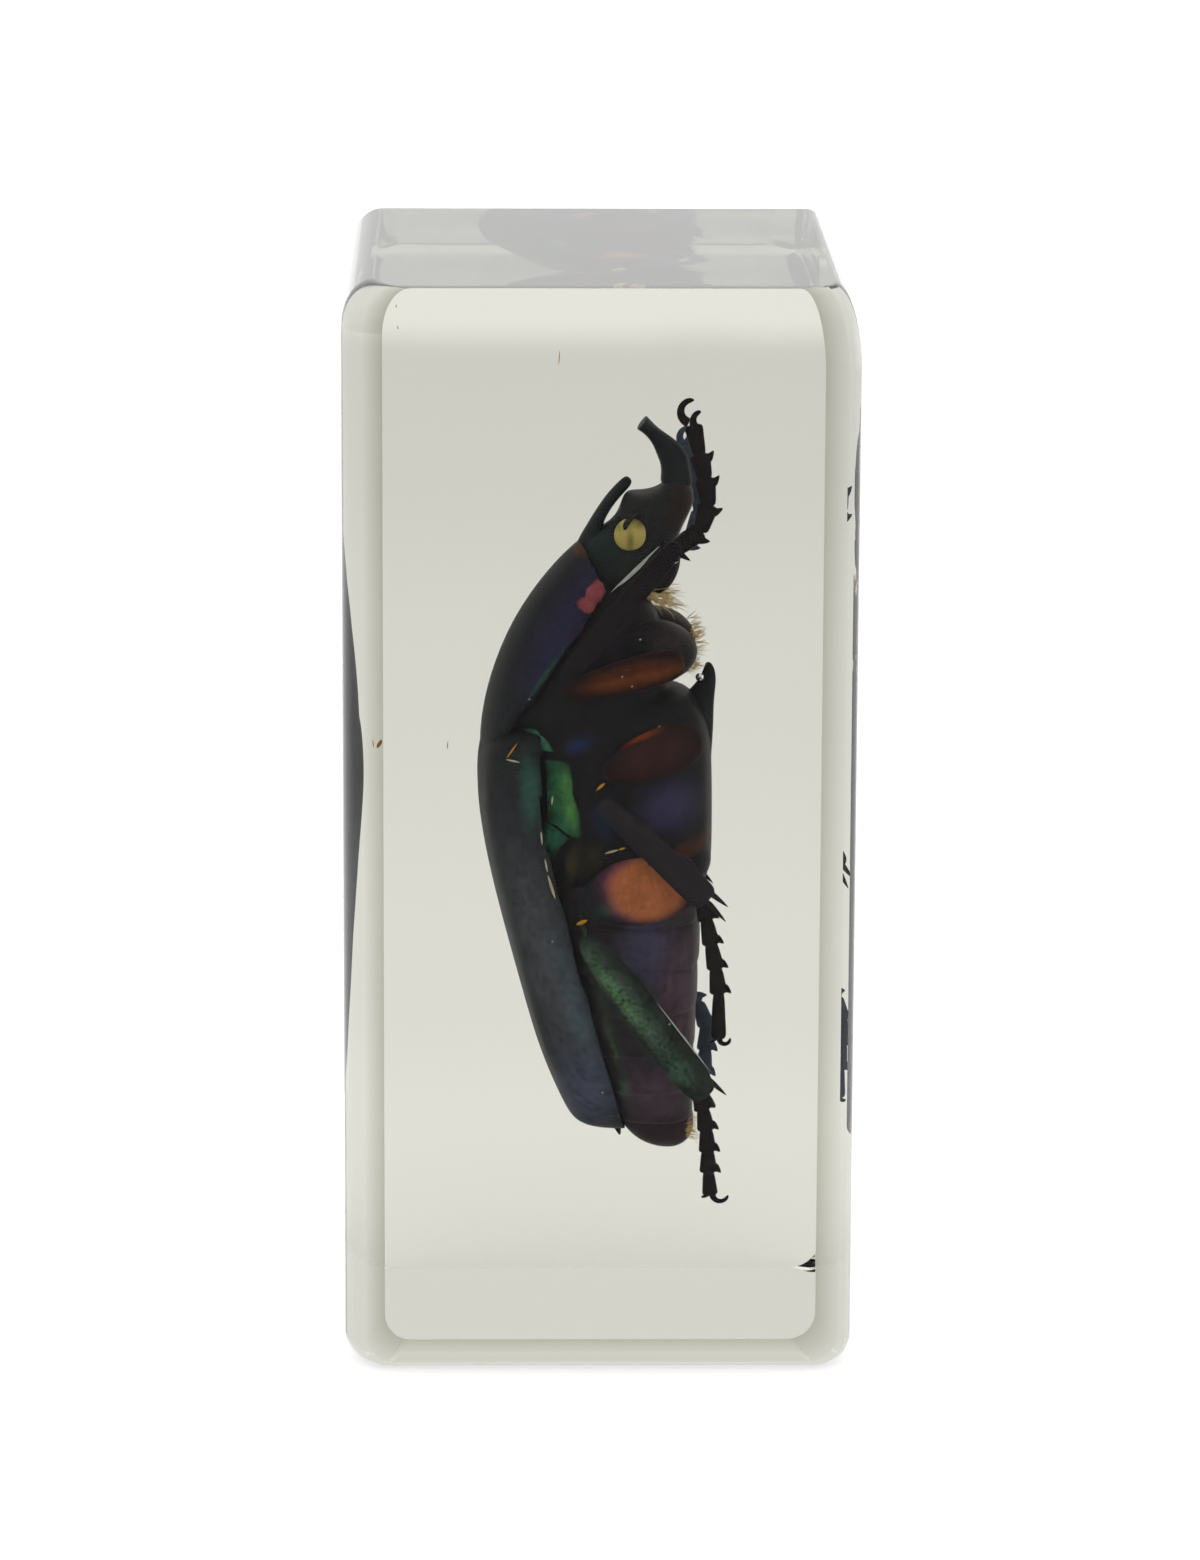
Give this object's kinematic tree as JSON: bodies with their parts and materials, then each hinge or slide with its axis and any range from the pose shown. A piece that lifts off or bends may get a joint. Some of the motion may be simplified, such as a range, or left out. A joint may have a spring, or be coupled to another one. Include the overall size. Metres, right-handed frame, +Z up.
{
  "type": "insect in resin block",
  "caption": "Clear cast-resin block with rounded edges, standing on its end, with a horned flower beetle sealed inside it in profile.",
  "frame": {"origin": "centre of the flat underside that the block stands on", "axes": "+Z up along the beetle's length towards its head, +X from the beetle's back to its underside, +Y to the block's back, across the beetle"},
  "size_m": [0.026, 0.03, 0.056],
  "materials": {
    "clear_resin": "polished clear polyester casting resin",
    "dark_cuticle": "near-black beetle cuticle with a blue-green to purple sheen",
    "green_cuticle": "green iridescent beetle cuticle",
    "red_cuticle": "orange-red beetle cuticle of the upper legs",
    "eye": "pale, milky compound eye",
    "hair": "fine golden bristles"
  },
  "bodies": {
    "root": {"resin_block": "clear_resin"}
  },
  "joints": []
}
